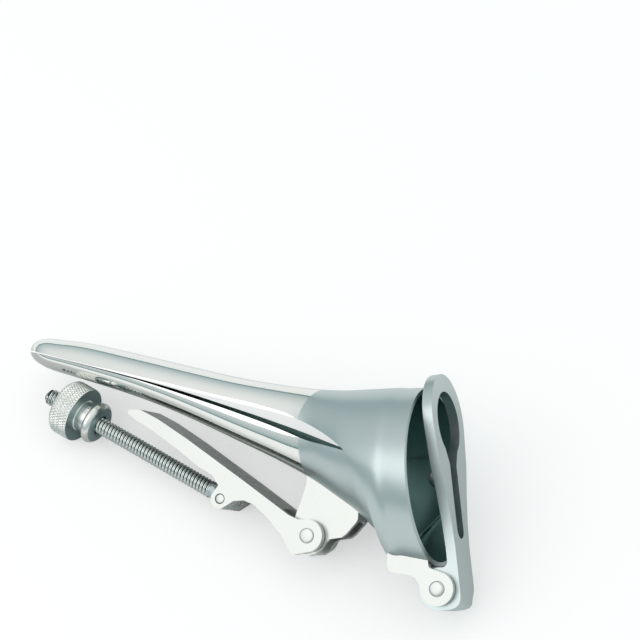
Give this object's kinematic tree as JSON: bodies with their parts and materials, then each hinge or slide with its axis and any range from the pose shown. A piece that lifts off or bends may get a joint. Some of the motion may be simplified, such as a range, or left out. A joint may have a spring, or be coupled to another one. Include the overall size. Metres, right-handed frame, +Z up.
{
  "type": "vaginal speculum",
  "caption": "Two-valve vaginal speculum with a ring collar, folding leg, threaded rod with knurled nut and keyhole lever, lying folded on its side.",
  "frame": {"origin": "centre of the bounding box's base, on the surface the folded instrument lies on", "axes": "+Z up from that surface, +X along the instrument towards the mouth and the keyhole lever; the blades point along -X and the leg side faces -Y"},
  "size_m": [0.145, 0.0696, 0.0481],
  "materials": {
    "satin_steel": "satin, pale grey with a cool green tinge",
    "bright_steel": "bright polished rivet heads"
  },
  "bodies": {
    "collar_body": {"upper_valve": "satin_steel", "lug_bracket": "satin_steel", "side_rivet_left": "satin_steel", "side_rivet_right": "satin_steel", "lever_pin": "bright_steel"},
    "lower_valve_body": {"lower_valve": "satin_steel", "leg_bracket": "satin_steel", "leg_rivet": "bright_steel"},
    "leg_body": {"leg": "satin_steel", "rod_pin": "bright_steel"},
    "rod_body": {"screw_rod": "satin_steel"},
    "nut_body": {"thumb_nut": "satin_steel"},
    "lever_body": {"lever": "satin_steel"}
  },
  "joints": [
    {"name": "valve_open", "type": "hinge", "parent": "collar_body", "child": "lower_valve_body", "pos_m": [0.0514, 0.00097, 0.02328], "axis": [-0.1791, -0.4749, 0.8617], "range_deg": [0, 20]},
    {"name": "leg_fold", "type": "hinge", "parent": "lower_valve_body", "child": "leg_body", "pos_m": [0.0255, -0.01549, 0.00883], "axis": [-0.1791, -0.4749, 0.8617], "range_deg": [0, 108]},
    {"name": "rod_swing", "type": "hinge", "parent": "leg_body", "child": "rod_body", "pos_m": [-0.00208, -0.00728, 0.00762], "axis": [-0.1791, -0.4749, 0.8617], "range_deg": [0, 92]},
    {"name": "nut_spin", "type": "hinge", "parent": "rod_body", "child": "nut_body", "pos_m": [-0.04579, 0.01054, 0.00836], "axis": [-0.9259, 0.3775, 0.0156], "continuous": true},
    {"name": "lever_fold", "type": "hinge", "parent": "collar_body", "child": "lever_body", "pos_m": [0.0656, -0.02675, 0.01095], "axis": [0.1791, 0.4749, -0.8617], "range_deg": [0, 170]}
  ]
}
